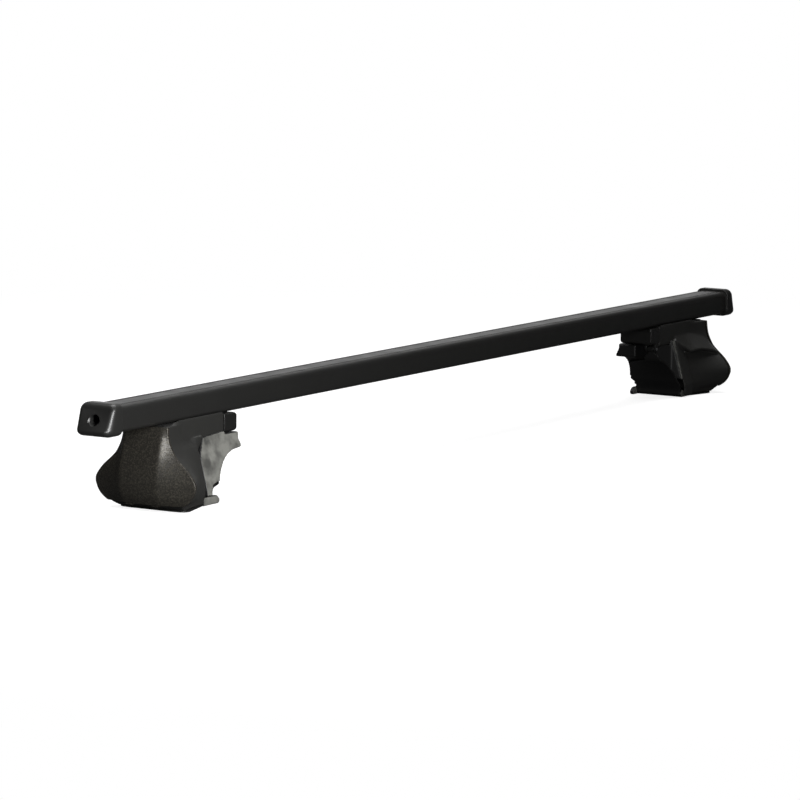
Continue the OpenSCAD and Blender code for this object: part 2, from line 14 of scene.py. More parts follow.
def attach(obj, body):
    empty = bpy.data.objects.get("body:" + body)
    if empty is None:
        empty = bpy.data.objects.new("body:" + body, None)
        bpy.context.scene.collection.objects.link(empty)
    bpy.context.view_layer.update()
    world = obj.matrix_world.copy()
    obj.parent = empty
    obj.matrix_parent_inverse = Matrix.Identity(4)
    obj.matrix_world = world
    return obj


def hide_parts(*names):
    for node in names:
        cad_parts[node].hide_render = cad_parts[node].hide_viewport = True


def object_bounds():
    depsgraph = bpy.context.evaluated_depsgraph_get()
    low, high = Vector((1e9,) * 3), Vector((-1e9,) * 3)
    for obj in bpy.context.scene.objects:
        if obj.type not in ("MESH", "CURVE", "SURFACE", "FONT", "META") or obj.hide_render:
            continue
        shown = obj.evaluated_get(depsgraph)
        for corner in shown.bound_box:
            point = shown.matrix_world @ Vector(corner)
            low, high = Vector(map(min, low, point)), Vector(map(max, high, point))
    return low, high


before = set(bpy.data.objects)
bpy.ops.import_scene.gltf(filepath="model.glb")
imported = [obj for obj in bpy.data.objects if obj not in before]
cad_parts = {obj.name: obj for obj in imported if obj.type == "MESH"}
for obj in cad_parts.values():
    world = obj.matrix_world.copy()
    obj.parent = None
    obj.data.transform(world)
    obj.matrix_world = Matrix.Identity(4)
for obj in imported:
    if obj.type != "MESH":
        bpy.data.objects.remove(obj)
CAD_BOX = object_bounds()
MM = 0.001

# %% [markdown]
# The photograph was taken with a long lens from low down, left of the near end of the bar. The camera stands
# on that line: a turn of 59.4 degrees from straight on, 7.5 degrees up and 4.3 metres away. It leans by less than
# a degree, as the photographed bar does.

# %% Camera
SENSOR_WIDTH = 36.0
FOCAL_PIXELS = 4543.0
IMAGE_PIXELS = 800
azimuth, elevation, roll = (math.radians(a) for a in (-59.39, 7.46, 0.75))
distance = 4.299
target = Vector((-0.0803, -0.0007, 0.0514))

toward_camera = Vector((math.sin(azimuth) * math.cos(elevation), -math.cos(azimuth) * math.cos(elevation),
                        math.sin(elevation)))
right = Vector((math.cos(azimuth), math.sin(azimuth), 0))
up = toward_camera.cross(right)
leaning_right = right * math.cos(roll) + up * math.sin(roll)
leaning_up = up * math.cos(roll) - right * math.sin(roll)
turn = Matrix((leaning_right, leaning_up, toward_camera)).transposed().to_4x4()

camera_data = bpy.data.cameras.new("camera")
camera_data.sensor_width = SENSOR_WIDTH
camera_data.lens = FOCAL_PIXELS * SENSOR_WIDTH / IMAGE_PIXELS
camera_data.clip_end = 50
camera = bpy.data.objects.new("camera", camera_data)
camera.matrix_world = Matrix.Translation(target + toward_camera * distance) @ turn
bpy.context.scene.collection.objects.link(camera)
bpy.context.scene.camera = camera
print("lens of", round(camera_data.lens, 1), "mm at", [round(c, 3) for c in camera.location])

# %% [markdown]
# Every finish below is a small network of nodes. Two helpers keep them readable: one turns a colour written
# as a hex number into the linear values that Blender works in, and one adds a node with its settings and links.

# %% Helpers for colour and nodes
def colour(hex_code):
    """An sRGB colour such as "1b1b1c" as linear red, green, blue and alpha."""
    parts = [int(hex_code[i:i + 2], 16) / 255 for i in (0, 2, 4)]
    return (*[c / 12.92 if c <= 0.04045 else ((c + 0.055) / 1.055) ** 2.4 for c in parts], 1)


def add(tree, kind, inputs=None, **settings):
    """Adds a node, sets its properties, then sets or links its inputs by name or number."""
    node = tree.nodes.new(kind)
    for key, value in settings.items():
        setattr(node, key, value)
    for key, value in (inputs or {}).items():
        if isinstance(value, bpy.types.NodeSocket):
            tree.links.new(value, node.inputs[key])
        else:
            node.inputs[key].default_value = value
    return node


def new_finish(name, **inputs):
    """A material with one principled shader, whose plain values are set on its own sockets."""
    material = bpy.data.materials.new(name)
    material.use_nodes = True
    tree = material.node_tree
    shader = tree.nodes["Principled BSDF"]
    for key, value in inputs.items():
        shader.inputs[key.replace("_", " ")].default_value = value
    return material, tree, shader


def add_relief(tree, shader, place, scale, depth, strength):
    """Puts a fine noise into the surface as bump, and returns the noise."""
    noise = add(tree, "ShaderNodeTexNoise", {"Vector": place.outputs["Object"], "Scale": scale, "Detail": 2.0})
    bump = add(tree, "ShaderNodeBump", {"Height": noise.outputs[0], "Distance": depth, "Strength": strength})
    tree.links.new(bump.outputs[0], shader.inputs["Normal"])
    return noise


print("a mid grey in linear values:", [round(c, 3) for c in colour("808080")])

# %% [markdown]
# The studio is plain: a white floor that runs out of sight and a white world behind it. Close to the feet the
# floor is matt paper, which keeps a faint shadow; further off it fades into an even white glow, so that the
# horizon can't be seen. The object is lit by soft lamps only, at a plain level, so its dark finishes render
# about as they are written.

# %% Floor
BEHIND_ANGLE = math.radians(59.4)
AWAY = (math.sin(BEHIND_ANGLE), math.cos(BEHIND_ANGLE), 0.0)
FLOOR_HALF, FLOOR_DROP = 12, 0.0002
scene = bpy.context.scene
scene.view_settings.view_transform = "Standard"

floor_mesh = bpy.data.meshes.new("floor")
floor_mesh.from_pydata([(sx * FLOOR_HALF, sy * FLOOR_HALF, 0) for sx, sy in ((-1, -1), (1, -1), (1, 1), (-1, 1))],
                       [], [(0, 1, 2, 3)])
floor = bpy.data.objects.new("floor", floor_mesh)
scene.collection.objects.link(floor)
floor.location.z = CAD_BOX[0][2] - FLOOR_DROP

paper = bpy.data.materials.new("white_studio_paper")
paper.use_nodes = True
tree = paper.node_tree
tree.nodes.clear()
rays = add(tree, "ShaderNodeLightPath")
seen = add(tree, "ShaderNodeMath", {0: rays.outputs["Is Camera Ray"], 1: rays.outputs["Is Glossy Ray"]},
           operation="MAXIMUM")
seen = add(tree, "ShaderNodeMath", {0: seen.outputs[0], 1: rays.outputs["Is Transmission Ray"]},
           operation="MAXIMUM")
paper_tone = add(tree, "ShaderNodeMix", {"Factor": rays.outputs["Is Camera Ray"], "A": colour("3c3c3c"),
                                         "B": colour("a8a8a8")}, data_type="RGBA")
matt = add(tree, "ShaderNodeBsdfDiffuse", {"Color": paper_tone.outputs["Result"]})
place = add(tree, "ShaderNodeTexCoord")
behind = add(tree, "ShaderNodeVectorMath", {0: place.outputs["Object"], 1: AWAY}, operation="DOT_PRODUCT")
mirror = add(tree, "ShaderNodeMapRange", {"Value": behind.outputs["Value"], "From Min": 1.4, "From Max": 3.0,
                                          "To Min": 0.02, "To Max": 0.5}, interpolation_type="SMOOTHSTEP")
lift = add(tree, "ShaderNodeMix", {"Factor": rays.outputs["Is Camera Ray"], "A": mirror.outputs[0], "B": 0.84},
           data_type="FLOAT")
glow = add(tree, "ShaderNodeEmission", {"Color": (1, 1, 1, 1), "Strength": lift.outputs[0]})
near = add(tree, "ShaderNodeAddShader", {0: matt.outputs[0], 1: glow.outputs[0]})
lift = add(tree, "ShaderNodeMix", {"Factor": rays.outputs["Is Camera Ray"], "A": mirror.outputs[0], "B": 1.0},
           data_type="FLOAT")
far = add(tree, "ShaderNodeEmission", {"Color": (1, 1, 1, 1), "Strength": lift.outputs[0]})
reach = add(tree, "ShaderNodeVectorMath", {0: place.outputs["Object"]}, operation="LENGTH")
fade = add(tree, "ShaderNodeMapRange", {"Value": reach.outputs["Value"], "From Min": 0.75, "From Max": 1.4},
           interpolation_type="SMOOTHSTEP")
shown = add(tree, "ShaderNodeMixShader", {0: fade.outputs[0], 1: near.outputs[0], 2: far.outputs[0]})
choice = add(tree, "ShaderNodeMixShader", {0: seen.outputs[0], 1: matt.outputs[0], 2: shown.outputs[0]})
add(tree, "ShaderNodeOutputMaterial", {"Surface": choice.outputs[0]})
floor_mesh.materials.append(paper)
print("floor at", round(floor.location.z, 4))

# %% [markdown]
# Round the floor stands an even white surround, which only the camera sees at full strength. In mirrored light it
# is bright behind the object and dark on the camera's side, as in a studio where the white paper hangs behind the
# object and the room is dark: that keeps the black finishes black. For plain light it is nearly dark too, so the
# lamps alone light the object.

# %% World
world = bpy.data.worlds.new("white_surround")
world.use_nodes = True
scene.world = world
tree = world.node_tree
tree.nodes.clear()
rays = add(tree, "ShaderNodeLightPath")
backdrop = add(tree, "ShaderNodeBackground", {"Color": (1, 1, 1, 1), "Strength": 1.0})
place = add(tree, "ShaderNodeTexCoord")
behind = add(tree, "ShaderNodeVectorMath", {0: place.outputs["Object"], 1: AWAY}, operation="DOT_PRODUCT")
mirror = add(tree, "ShaderNodeMapRange", {"Value": behind.outputs["Value"], "From Min": 0.8, "From Max": 0.98,
                                          "To Min": 0.02, "To Max": 0.95}, interpolation_type="SMOOTHSTEP")
walls = add(tree, "ShaderNodeBackground", {"Color": (1, 1, 1, 1), "Strength": mirror.outputs[0]})
dim = add(tree, "ShaderNodeBackground", {"Color": (1, 1, 1, 1), "Strength": 0.03})
mirrored = add(tree, "ShaderNodeMath", {0: rays.outputs["Is Glossy Ray"], 1: rays.outputs["Is Transmission Ray"]},
               operation="MAXIMUM")
others = add(tree, "ShaderNodeMixShader", {0: mirrored.outputs[0], 1: dim.outputs[0], 2: walls.outputs[0]})
choice = add(tree, "ShaderNodeMixShader",
             {0: rays.outputs["Is Camera Ray"], 1: others.outputs[0], 2: backdrop.outputs[0]})
add(tree, "ShaderNodeOutputWorld", {"Surface": choice.outputs[0]})
print("world:", world.name)

# %% [markdown]
# Two soft lamps make the light of the photograph. A wide one overhead gives the upper sides their soft tone. A
# tall narrow one close to the near end lights the right wing of the near cover, draws the upright
# highlight on the edge of the end cap, and leaves the far foot dark.

# %% Lamps
def area_lamp(name, place, aim, width, height, power, spread=180):
    """A soft lamp of that width and height in metres that looks at a point, shaded to an angle in degrees."""
    data = bpy.data.lights.new(name, "AREA")
    data.shape = "RECTANGLE"
    data.size, data.size_y = width, height
    data.energy = power
    data.spread = math.radians(spread)
    lamp = bpy.data.objects.new(name, data)
    lamp.location = place
    lamp.rotation_euler = (Vector(aim) - Vector(place)).to_track_quat("-Z", "Y").to_euler()
    scene.collection.objects.link(lamp)
    return lamp


area_lamp("overhead_softbox", (0.15, 0.1, 1.9), (0.1, 0, 0.08), 2.2, 0.9, 34)
area_lamp("front_strip", (-1.09, -0.93, 0.36), (-0.55, 0, 0.06), 0.14, 0.7, 4.8, 85)

# %% [markdown]
# ## Finishes
# Each one starts from the real stuff and how its surface was made. One render pixel is about a millimetre here,
# so grain finer than that is drawn only as coarse as it needs to be to show.

# %% [markdown]
# The bar is a steel tube with a black polyester powder coat, baked on. Such a coat is a satin skin with an orange
# peel of about 1.5 mm. A fine noise makes that peel as bump, and a coarse one lets the gloss wander a little, as
# it does where hands and straps have rubbed a bar.

# %% Coated steel of the bar
bar_coat, tree, shader = new_finish("powder_coated_steel", Base_Color=colour("212120"), Roughness=0.42, IOR=1.5)
place = add(tree, "ShaderNodeTexCoord")
patch = add(tree, "ShaderNodeTexNoise", {"Vector": place.outputs["Object"], "Scale": 40.0, "Detail": 3.0})
tone = add(tree, "ShaderNodeMapRange", {"Value": patch.outputs[0], "From Min": 0.3, "From Max": 0.7,
                                        "To Min": 0.38, "To Max": 0.47})
tree.links.new(tone.outputs[0], shader.inputs["Roughness"])
add_relief(tree, shader, place, 650.0, 0.00004, 0.5)
print("finish:", bar_coat.name)

# %% [markdown]
# The caps are polypropylene from a lightly sparked mould: satin, with a very fine even grain. One fine noise as
# bump is enough, because the real grain has no pattern and the colour is that of the plastic all through.

# %% Moulded polypropylene of the caps
cap_plastic, tree, shader = new_finish("moulded_polypropylene", Base_Color=colour("232322"), Roughness=0.4, IOR=1.55)
place = add(tree, "ShaderNodeTexCoord")
add_relief(tree, shader, place, 1400.0, 0.00003, 0.4)
print("finish:", cap_plastic.name)

# %% [markdown]
# The housing is nylon with short glass fibres, moulded smooth: an even satin with faint cloudy patches where the
# fibres gather. A soft noise mixes two near greys for the clouds, and a fine one gives the skin of the mould.

# %% Glass-filled nylon of the housing
housing_nylon, tree, shader = new_finish("glass_filled_nylon", Base_Color=colour("282827"), Roughness=0.5, IOR=1.53)
place = add(tree, "ShaderNodeTexCoord")
cloud = add(tree, "ShaderNodeTexNoise", {"Vector": place.outputs["Object"], "Scale": 90.0, "Detail": 4.0})
shade = add(tree, "ShaderNodeMix", {"Factor": cloud.outputs[0], "A": colour("252524"), "B": colour("2b2b29")},
            data_type="RGBA")
tree.links.new(shade.outputs["Result"], shader.inputs["Base Color"])
add_relief(tree, shader, place, 1100.0, 0.00003, 0.4)
print("finish:", housing_nylon.name)

# %% [markdown]
# The cover has dark bronze paint with mica flakes under a satin lacquer. Real flakes are under 0.1 mm; these cells
# are 0.9 mm, one render pixel, so that the glitter shows. Each cell leans its own way, so only some catch the
# light. Glitter could also be drawn as bright dots, but leaning cells move with the light as real flakes do.

# %% Mica paint of the cover
cover_mica, tree, shader = new_finish("bronze_black_mica_paint", Base_Color=colour("2b2824"), Roughness=0.42,
                                      Metallic=0.4, IOR=1.5)
place = add(tree, "ShaderNodeTexCoord")
flake = add(tree, "ShaderNodeTexVoronoi", {"Vector": place.outputs["Object"], "Scale": 1100.0})
grey = add(tree, "ShaderNodeRGBToBW", {"Color": flake.outputs["Color"]})
bright = add(tree, "ShaderNodeMapRange", {"Value": grey.outputs[0], "From Min": 0.45, "From Max": 0.8})
shade = add(tree, "ShaderNodeMix", {"Factor": bright.outputs[0], "A": colour("302e2a"), "B": colour("4b4841")},
            data_type="RGBA")
tree.links.new(shade.outputs["Result"], shader.inputs["Base Color"])
lean = add(tree, "ShaderNodeVectorMath", {0: flake.outputs["Color"], 1: (0.5, 0.5, 0.5)}, operation="SUBTRACT")
lean = add(tree, "ShaderNodeVectorMath", {0: lean.outputs[0], "Scale": 0.16}, operation="SCALE")
facing = add(tree, "ShaderNodeNewGeometry")
turned = add(tree, "ShaderNodeVectorMath", {0: facing.outputs["Normal"], 1: lean.outputs[0]}, operation="ADD")
turned = add(tree, "ShaderNodeVectorMath", {0: turned.outputs[0]}, operation="NORMALIZE")
tree.links.new(turned.outputs[0], shader.inputs["Normal"])
print("finish:", cover_mica.name)

# %% [markdown]
# The pads and lips are a thermoplastic elastomer, moulded beside the housing: matt mid grey with an uneven bloom.
# The faces that grip the rail are lined with black rubber, so the grey shows only on the flanks, which look along Y.
# The finish tells the two apart by the direction of the face and its distance from the middle of the foot. The same
# black is partly painted shade: it darkens every grey face that doesn't look along Y, such as the parting groove
# beside the housing and the top of the tab.

# %% Grey rubber of the pads
grey_rubber, tree, shader = new_finish("grey_thermoplastic_elastomer", Base_Color=colour("6f6f6b"), Roughness=0.5,
                                       IOR=1.5)
place = add(tree, "ShaderNodeTexCoord")
bloom = add(tree, "ShaderNodeTexNoise", {"Vector": place.outputs["Object"], "Scale": 70.0, "Detail": 4.0})
bloom = add(tree, "ShaderNodeMapRange", {"Value": bloom.outputs[0], "From Min": 0.36, "From Max": 0.64})
shade = add(tree, "ShaderNodeMix", {"Factor": bloom.outputs[0], "A": colour("4a4a47"), "B": colour("7e7e79")},
            data_type="RGBA")
aside = add(tree, "ShaderNodeSeparateXYZ", {"Vector": place.outputs["Normal"]})
aside = add(tree, "ShaderNodeMath", {0: aside.outputs["Y"]}, operation="ABSOLUTE")
aside = add(tree, "ShaderNodeMapRange", {"Value": aside.outputs[0], "From Min": 0.8, "From Max": 0.93},
            interpolation_type="SMOOTHSTEP")
outer = add(tree, "ShaderNodeSeparateXYZ", {"Vector": place.outputs["Object"]})
outer = add(tree, "ShaderNodeMath", {0: outer.outputs["Y"]}, operation="ABSOLUTE")
outer = add(tree, "ShaderNodeMapRange", {"Value": outer.outputs[0], "From Min": 0.0165, "From Max": 0.018})
# Black where a face doesn't look along Y or lies near the middle of the foot. This is partly a real black lining on
# the grip faces and partly painted shade in the parting groove and on the top of the tab.
lining_and_groove_shade = add(tree, "ShaderNodeMath", {0: aside.outputs[0], 1: outer.outputs[0]}, operation="MULTIPLY")
lining_and_groove_shade = add(tree, "ShaderNodeMath", {0: 1.0, 1: lining_and_groove_shade.outputs[0]}, operation="SUBTRACT")
shade = add(tree, "ShaderNodeMix", {"Factor": lining_and_groove_shade.outputs[0], "A": shade.outputs["Result"],
                                    "B": colour("0c0c0c")}, data_type="RGBA")
tree.links.new(shade.outputs["Result"], shader.inputs["Base Color"])
add_relief(tree, shader, place, 900.0, 0.00004, 0.5)
print("finish:", grey_rubber.name)

# %% [markdown]
# The other parts differ in colour, in gloss and in how coarse their surface is, so one function makes them all.
# The numbers after each colour are its roughness, the width of its grain and the depth of its grain, the last two
# in millimetres.

# %% Finishes with a plain grain
def grained_finish(name, shade, roughness, grain_mm, depth_mm):
    """A one-colour finish whose roughness wanders a little and whose surface has an even grain."""
    material, tree, shader = new_finish(name, Base_Color=colour(shade), Roughness=roughness, IOR=1.5)
    place = add(tree, "ShaderNodeTexCoord")
    grain = add_relief(tree, shader, place, 1 / (grain_mm * MM), depth_mm * MM, 0.5)
    tone = add(tree, "ShaderNodeMapRange", {"Value": grain.outputs[0], "To Min": roughness - 0.06,
                                            "To Max": roughness + 0.06})
    tree.links.new(tone.outputs[0], shader.inputs["Roughness"])
    return material, tree, shader


# Polypropylene of the sole plates
sole_plastic = grained_finish("moulded_sole_plastic", "161616", 0.5, 0.9, 0.03)[0]
# Soft black rubber of the saddles between foot and bar
black_rubber = grained_finish("black_epdm_rubber", "0e0e0e", 0.7, 0.8, 0.04)[0]
# Spring steel band of the straps, dipped in rubber
strap_black = grained_finish("rubber_coated_band", "121212", 0.5, 1.0, 0.04)[0]
# Cast claws with a thin dipped coat, a little glossier than the rubber
claw_black = grained_finish("black_electrocoat", "1b1b1a", 0.34, 1.2, 0.02)[0]
# Screws, nuts, pins and clamping plates
zinc_steel, tree, shader = grained_finish("zinc_plated_steel", "b9bbbd", 0.35, 0.7, 0.01)
shader.inputs["Metallic"].default_value = 1.0
# Thrust washers under the heads of the tension screws
brass, tree, shader = grained_finish("turned_brass", "c8a761", 0.3, 0.7, 0.01)
shader.inputs["Metallic"].default_value = 1.0

FINISH = {"bar_coat": bar_coat, "cap_plastic": cap_plastic, "housing_nylon": housing_nylon,
          "cover_mica": cover_mica, "sole_plastic": sole_plastic, "black_rubber": black_rubber,
          "grey_rubber": grey_rubber, "strap_black": strap_black, "claw_black": claw_black,
          "zinc_steel": zinc_steel, "brass_washer": brass}
print("finishes:", sorted(FINISH))

# %% [markdown]
# The CAD nodes that stay as they are, such as pins, plates and nuts, take their finish here. The larger pieces
# are drawn anew below and then stand in for their node.

# %% Finishes on the nodes
NODE_SLOT = {"bar": "bar_coat"}
for side in ("left_", "right_"):
    NODE_SLOT.update({
        side + "cap": "cap_plastic", side + "cap_screw": "zinc_steel", side + "housing": "housing_nylon",
        side + "cover": "cover_mica", side + "hinge_pin": "zinc_steel", side + "saddle": "black_rubber",
        side + "clamp_plate": "zinc_steel", side + "clamp_bolts": "zinc_steel", side + "clamp_nuts": "zinc_steel",
        side + "sole": "sole_plastic", side + "sole_screws": "zinc_steel", side + "rail_pad": "grey_rubber",
        side + "lower_lip": "grey_rubber", side + "tension_screw": "zinc_steel",
        side + "thrust_washer": "brass_washer", side + "claw": "claw_black", side + "claw_nut": "zinc_steel",
        side + "strap_pin": "zinc_steel", side + "strap": "strap_black"})
for name, slot in NODE_SLOT.items():
    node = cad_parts[name]
    node.data.materials.clear()
    node.data.materials.append(FINISH[slot])
print("nodes with a finish:", len(NODE_SLOT))

# %% [markdown]
# ## Shapes
# Each piece is drawn in millimetres. The two feet are the same part, one of them turned half round, so a piece of
# a foot is drawn once, inboard along X from the rim of its cover, and placed twice.

# %% Places and mesh helpers
IN_METRES = Matrix.Scale(MM, 4)
LEFT_RIM_X, RIGHT_RIM_X = -0.511, 0.517
FOOT_PLACE = {"left": Matrix.Translation((LEFT_RIM_X, 0, 0)),
              "right": Matrix.Translation((RIGHT_RIM_X, 0, 0)) @ Matrix.Rotation(math.pi, 4, "Z")}


def object_of(name, bm, material, sharp=35):
    """An object made from a mesh drawn in millimetres; edges steeper than the sharp angle stay crisp."""
    bmesh.ops.recalc_face_normals(bm, faces=bm.faces)
    bm.transform(IN_METRES)
    mesh = bpy.data.meshes.new(name)
    bm.to_mesh(mesh)
    bm.free()
    mesh.materials.append(material)
    mesh.shade_smooth()
    mesh.set_sharp_from_angle(angle=math.radians(sharp))
    piece = bpy.data.objects.new(name, mesh)
    scene.collection.objects.link(piece)
    return piece


def bake(piece, sharp=35):
    """Puts the result of an object's modifiers into its mesh and takes them off."""
    graph = bpy.context.evaluated_depsgraph_get()
    mesh = bpy.data.meshes.new_from_object(piece.evaluated_get(graph))
    piece.modifiers.clear()
    piece.data = mesh
    mesh.shade_smooth()
    mesh.set_sharp_from_angle(angle=math.radians(sharp))
    return piece


def place_on_feet(master, node, body):
    """Copies a finished master to both feet, where the copies stand in for their CAD node."""
    for side, place in FOOT_PLACE.items():
        mesh = master.data.copy()
        mesh.transform(place)
        piece = bpy.data.objects.new(f"{side}_{node}_dressed", mesh)
        scene.collection.objects.link(piece)
        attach(piece, f"{side}_{body}")
        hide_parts(f"{side}_{node}")
    count = sum(len(p.vertices) - 2 for p in master.data.polygons)
    print(node, "has", count, "triangles on each foot")
    bpy.data.objects.remove(master)


def loft(bm, rings):
    """Skins a row of closed rings with equal numbers of points, and closes both ends."""
    rows = [[bm.verts.new(p) for p in ring] for ring in rings]
    for a, b in zip(rows, rows[1:]):
        for i in range(len(a)):
            j = (i + 1) % len(a)
            bm.faces.new((a[i], a[j], b[j], b[i]))
    bm.faces.new(rows[0])
    bm.faces.new(rows[-1])


def box(bm, low, high):
    """A rectangular block between two corners."""
    loft(bm, [[(x, low[1], low[2]), (x, high[1], low[2]), (x, high[1], high[2]), (x, low[1], high[2])]
              for x in (low[0], high[0])])


def rod(bm, start, end, radius, steps=40):
    """A round bar between two points that lie along one axis."""
    line = Vector(end) - Vector(start)
    across = Vector((0, 0, 1)) if abs(line.z) < line.length / 2 else Vector((1, 0, 0))
    other = line.normalized().cross(across)
    ring = [across * math.cos(math.tau * i / steps) + other * math.sin(math.tau * i / steps) for i in range(steps)]
    loft(bm, [[Vector(p) + r * radius for r in ring] for p in (start, end)])


print("feet at", [[round(c, 3) for c in m.translation] for m in FOOT_PLACE.values()])

# %% [markdown]
# The bar is a rolled steel section with a slot underneath, in which the feet are clamped, and fine grooves along
# its top, which keep a load from sliding. The outline runs round the outside, in through the slot and back along
# the inside, so one closed line gives both skins and the slot. It could be cut from a block instead, but a line
# keeps the wall even all the way round.

# %% Section of the bar
BAR_W, BAR_H, BAR_R, BAR_WALL, SLOT_W = 32.0, 23.5, 5.0, 2.0, 9.0
BAR_MID_Z, TUBE_HALF = 87.75, 572.0
OUTER_STEPS, INNER_STEPS = 10, 8
GROOVES_Y, GROOVE_DEPTH, GROOVE_MOUTH, GROOVE_FLOOR = (10.4, 8.0, -8.0, -10.4), 0.35, 0.6, 0.45


def corner_arcs(w, h, r, steps, start):
    """Points of a rounded rectangle, anticlockwise from the corner number given."""
    corners = [(1, 1, 0), (-1, 1, 90), (-1, -1, 180), (1, -1, 270)]
    points = []
    for k in range(4):
        sx, sy, turned = corners[(start + k) % 4]
        for s in range(steps + 1):
            a = math.radians(turned + 90 * s / steps)
            points.append((sx * (w / 2 - r) + r * math.cos(a), sy * (h / 2 - r) + r * math.sin(a)))
    return points


outside = corner_arcs(BAR_W, BAR_H, BAR_R, OUTER_STEPS, 3)
inside = corner_arcs(BAR_W - 2 * BAR_WALL, BAR_H - 2 * BAR_WALL, BAR_R - BAR_WALL, INNER_STEPS, 3)
top = BAR_H / 2
grooved = []
for i, point in enumerate(outside):
    grooved.append(point)
    if i == 2 * OUTER_STEPS + 1:
        for y in GROOVES_Y:
            grooved += [(y + GROOVE_MOUTH, top), (y + GROOVE_FLOOR, top - GROOVE_DEPTH),
                        (y - GROOVE_FLOOR, top - GROOVE_DEPTH), (y - GROOVE_MOUTH, top)]
section = ([(SLOT_W / 2, -top)] + grooved + [(-SLOT_W / 2, -top), (-SLOT_W / 2, -top + BAR_WALL)]
           + inside[::-1] + [(SLOT_W / 2, -top + BAR_WALL)])
print("section points:", len(section))

# %% [markdown]
# A rolled section has one shape along its whole length, so it is swept: Geometry Nodes turn the outline into a
# curve and draw it along a straight line between a start and an end. Three helpers make a tree, end it, and run it
# on an object, which then keeps only its plain mesh.

# %% Bar as a swept section
def new_geometry_tree(name, sizes):
    """A Geometry Nodes tree with a geometry input and output, named size inputs and a material input."""
    tree = bpy.data.node_groups.new(name, "GeometryNodeTree")
    tree.interface.new_socket("Geometry", in_out="INPUT", socket_type="NodeSocketGeometry")
    for label, value in sizes.items():
        socket = tree.interface.new_socket(label, in_out="INPUT", socket_type="NodeSocketFloat")
        socket.default_value = value
    tree.interface.new_socket("Finish", in_out="INPUT", socket_type="NodeSocketMaterial")
    tree.interface.new_socket("Geometry", in_out="OUTPUT", socket_type="NodeSocketGeometry")
    return tree, add(tree, "NodeGroupInput")


def close_tree(tree, given, geometry):
    """Ends a tree in Realize Instances and Set Material."""
    real = add(tree, "GeometryNodeRealizeInstances", {"Geometry": geometry})
    finished = add(tree, "GeometryNodeSetMaterial", {"Geometry": real.outputs[0],
                                                     "Material": given.outputs["Finish"]})
    add(tree, "NodeGroupOutput", {"Geometry": finished.outputs[0]})


def grow(piece, tree, material, **sizes):
    """Runs a tree on an object with its own sizes, set by each socket's identifier, and keeps the plain mesh."""
    modifier = piece.modifiers.new(tree.name, "NODES")
    modifier.node_group = tree
    for socket in tree.interface.items_tree:
        if socket.item_type == "SOCKET" and socket.in_out == "INPUT":
            if socket.name in sizes:
                modifier[socket.identifier] = float(sizes[socket.name])
            elif socket.name == "Finish":
                modifier[socket.identifier] = material
    return bake(piece)


sweep, given = new_geometry_tree("swept_section", {"Start": 0.0, "End": 1.0})
outline = add(sweep, "GeometryNodeMeshToCurve", {"Mesh": given.outputs["Geometry"]})
first = add(sweep, "ShaderNodeCombineXYZ", {"X": given.outputs["Start"]})
last = add(sweep, "ShaderNodeCombineXYZ", {"X": given.outputs["End"]})
path = add(sweep, "GeometryNodeCurvePrimitiveLine", {"Start": first.outputs[0], "End": last.outputs[0]})
skin = add(sweep, "GeometryNodeCurveToMesh", {"Curve": path.outputs[0], "Profile Curve": outline.outputs[0],
                                              "Fill Caps": True})
raised = add(sweep, "ShaderNodeCombineXYZ", {"Z": BAR_MID_Z * MM})
moved = add(sweep, "GeometryNodeSetPosition", {"Geometry": skin.outputs[0], "Offset": raised.outputs[0]})
close_tree(sweep, given, moved.outputs[0])

bar_mesh = bpy.data.meshes.new("bar_section")
bar_mesh.from_pydata([(-y * MM, -z * MM, 0) for y, z in section],
                     [(i, (i + 1) % len(section)) for i in range(len(section))], [])
bar = bpy.data.objects.new("bar_tube", bar_mesh)
scene.collection.objects.link(bar)
grow(bar, sweep, bar_coat, Start=-TUBE_HALF * MM, End=TUBE_HALF * MM)
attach(bar, "bar")
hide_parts("bar")
print("bar:", len(bar.data.polygons), "faces, size", [round(c * 1000, 2) for c in bar.dimensions])

# %% [markdown]
# Each end cap is a moulded plug whose head stands a little proud of the tube. The outer face leans back, its
# edge is rounded, and a round hole in it reaches the screw. Rings of one rounded rectangle are skinned from the
# tube outward, shrinking over the last few millimetres to make the rounded edge.

# %% End caps
CAP_LENGTH, CAP_RAKE, CAP_PROUD, CAP_R, EDGE_LONG, EDGE_DEEP = 22.0, 9.0, 2.5, 6.5, 9.0, 5.2
PLUG_LENGTH, PLUG_W, PLUG_H, PLUG_R = 22.0, 27.6, 19.1, 3
HOLE_D, HOLE_DEPTH, BORE_R, EASE_STEPS = 10.0, 15.0, 2.3, 48


def cap_ring(x, inset):
    """A ring of the head; its face leans more the further out it lies."""
    w, h = BAR_W + 2 * (CAP_PROUD - inset), BAR_H + 2 * (CAP_PROUD - inset)
    return [(x - CAP_RAKE * (z + h / 2) / h * x / CAP_LENGTH, y, z)
            for y, z in corner_arcs(w, h, max(CAP_R - inset, 1), 12, 0)]


